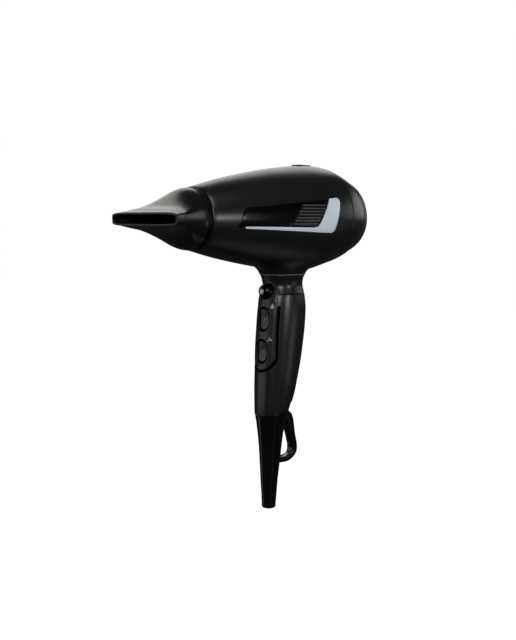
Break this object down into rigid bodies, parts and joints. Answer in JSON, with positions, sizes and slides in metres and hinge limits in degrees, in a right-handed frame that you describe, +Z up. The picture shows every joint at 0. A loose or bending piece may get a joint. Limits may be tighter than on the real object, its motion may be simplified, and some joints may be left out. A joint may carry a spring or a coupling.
{
  "type": "hair dryer",
  "caption": "Hand-held hair dryer with a tapered barrel, slot nozzle, slim handle with rocker switches and cool-shot button, and a long tapered cord guard with a hanging loop.",
  "frame": {"origin": "middle of the grip, 120 mm below the barrel's axis and 100 mm behind the housing's front edge", "axes": "+Z up along the handle towards the barrel, +Y along the barrel towards the rear intake (air leaves towards -Y), +X to the dryer's left side"},
  "size_m": [0.0926, 0.231, 0.2989],
  "materials": {
    "satin_black": "satin",
    "gloss_black": "polished",
    "control_black": "satin",
    "nozzle_black": "semi-gloss",
    "plain_black": "matte",
    "rocker_black": "satin",
    "dark_plastic": "matte",
    "louvre_grey": "satin",
    "silver_trim": "silver lacquer",
    "smoked_lens": "polished",
    "filter_steel": "woven",
    "plated_steel": "zinc plated",
    "machined_steel": "machined",
    "copper_winding": "enamelled",
    "brass": "plain",
    "duct_plastic": "matte",
    "black_rubber": "matte",
    "mica_board": "matte",
    "resistance_wire": "oxidised",
    "white_ceramic": "glazed",
    "circuit_board": "solder mask",
    "cable_sleeve": "matte"
  },
  "bodies": {
    "dryer_body": {"housing": "satin_black", "rear_cover": "satin_black", "handle_shell": "satin_black", "side_panel_left": "gloss_black", "side_panel_right": "gloss_black", "neck_collar": "gloss_black", "cord_guard": "gloss_black", "control_panel": "control_black", "outlet_ring": "dark_plastic", "cool_switch": "dark_plastic", "heat_switch": "dark_plastic", "speed_switch": "dark_plastic", "cord_clamp": "dark_plastic", "motor_front_bracket": "dark_plastic", "motor_rear_bracket": "dark_plastic", "ion_module": "dark_plastic", "side_louvre_left": "louvre_grey", "side_louvre_right": "louvre_grey", "side_trim_left": "silver_trim", "side_trim_right": "silver_trim", "indicator_lens": "smoked_lens", "outlet_grille": "plated_steel", "button_spring": "plated_steel", "board_screw_upper": "plated_steel", "board_screw_lower": "plated_steel", "clamp_screw_left": "plated_steel", "clamp_screw_right": "plated_steel", "stator_core": "machined_steel", "front_bearing": "machined_steel", "rear_bearing": "machined_steel", "thermostat": "machined_steel", "ion_emitter": "machined_steel", "field_coil_upper": "copper_winding", "field_coil_lower": "copper_winding", "brush_holder_upper": "brass", "brush_holder_lower": "brass", "fan_shroud": "duct_plastic", "air_cone": "duct_plastic", "motor_mount": "duct_plastic", "motor_damper_front": "black_rubber", "motor_damper_rear": "black_rubber", "heater_tube": "mica_board", "mica_cross": "mica_board", "heater_coil_front": "resistance_wire", "heater_coil_rear": "resistance_wire", "terminal_block": "white_ceramic", "thermal_fuse": "white_ceramic", "circuit_board": "circuit_board", "wiring_harness": "cable_sleeve"},
    "nozzle_collar": {"nozzle_collar": "plain_black"},
    "nozzle": {"nozzle": "nozzle_black"},
    "rear_grille": {"rear_grille": "dark_plastic", "dust_filter": "filter_steel"},
    "cool_button": {"cool_button": "gloss_black"},
    "heat_rocker": {"heat_rocker": "rocker_black"},
    "speed_rocker": {"speed_rocker": "rocker_black"},
    "rotor": {"motor_shaft": "machined_steel", "armature": "machined_steel", "commutator": "copper_winding", "impeller": "duct_plastic"}
  },
  "joints": [
    {"name": "nozzle_pull", "type": "slide", "parent": "dryer_body", "child": "nozzle_collar", "axis": [0, -1, 0], "range_m": [0, 0.02]},
    {"name": "nozzle_swivel", "type": "hinge", "parent": "nozzle_collar", "child": "nozzle", "pos_m": [0, -0.1045, 0.12], "axis": [0, 1, 0], "continuous": true},
    {"name": "rear_grille_pull", "type": "slide", "parent": "dryer_body", "child": "rear_grille", "axis": [0, 1, 0], "range_m": [0, 0.015]},
    {"name": "cool_button_press", "type": "slide", "parent": "dryer_body", "child": "cool_button", "axis": [0, 1, 0], "range_m": [0, 0.002], "stiffness_N_per_m": 600, "springref_m": -0.001},
    {"name": "heat_rocker_tilt", "type": "hinge", "parent": "dryer_body", "child": "heat_rocker", "pos_m": [0, -0.01507, 0.0347], "axis": [1, 0, 0], "range_deg": [-8, 8]},
    {"name": "speed_rocker_tilt", "type": "hinge", "parent": "dryer_body", "child": "speed_rocker", "pos_m": [0, -0.01764, 0.0072], "axis": [1, 0, 0], "range_deg": [-8, 8]},
    {"name": "fan_spin", "type": "hinge", "parent": "dryer_body", "child": "rotor", "pos_m": [0, 0.01, 0.12], "axis": [0, 1, 0], "continuous": true}
  ]
}
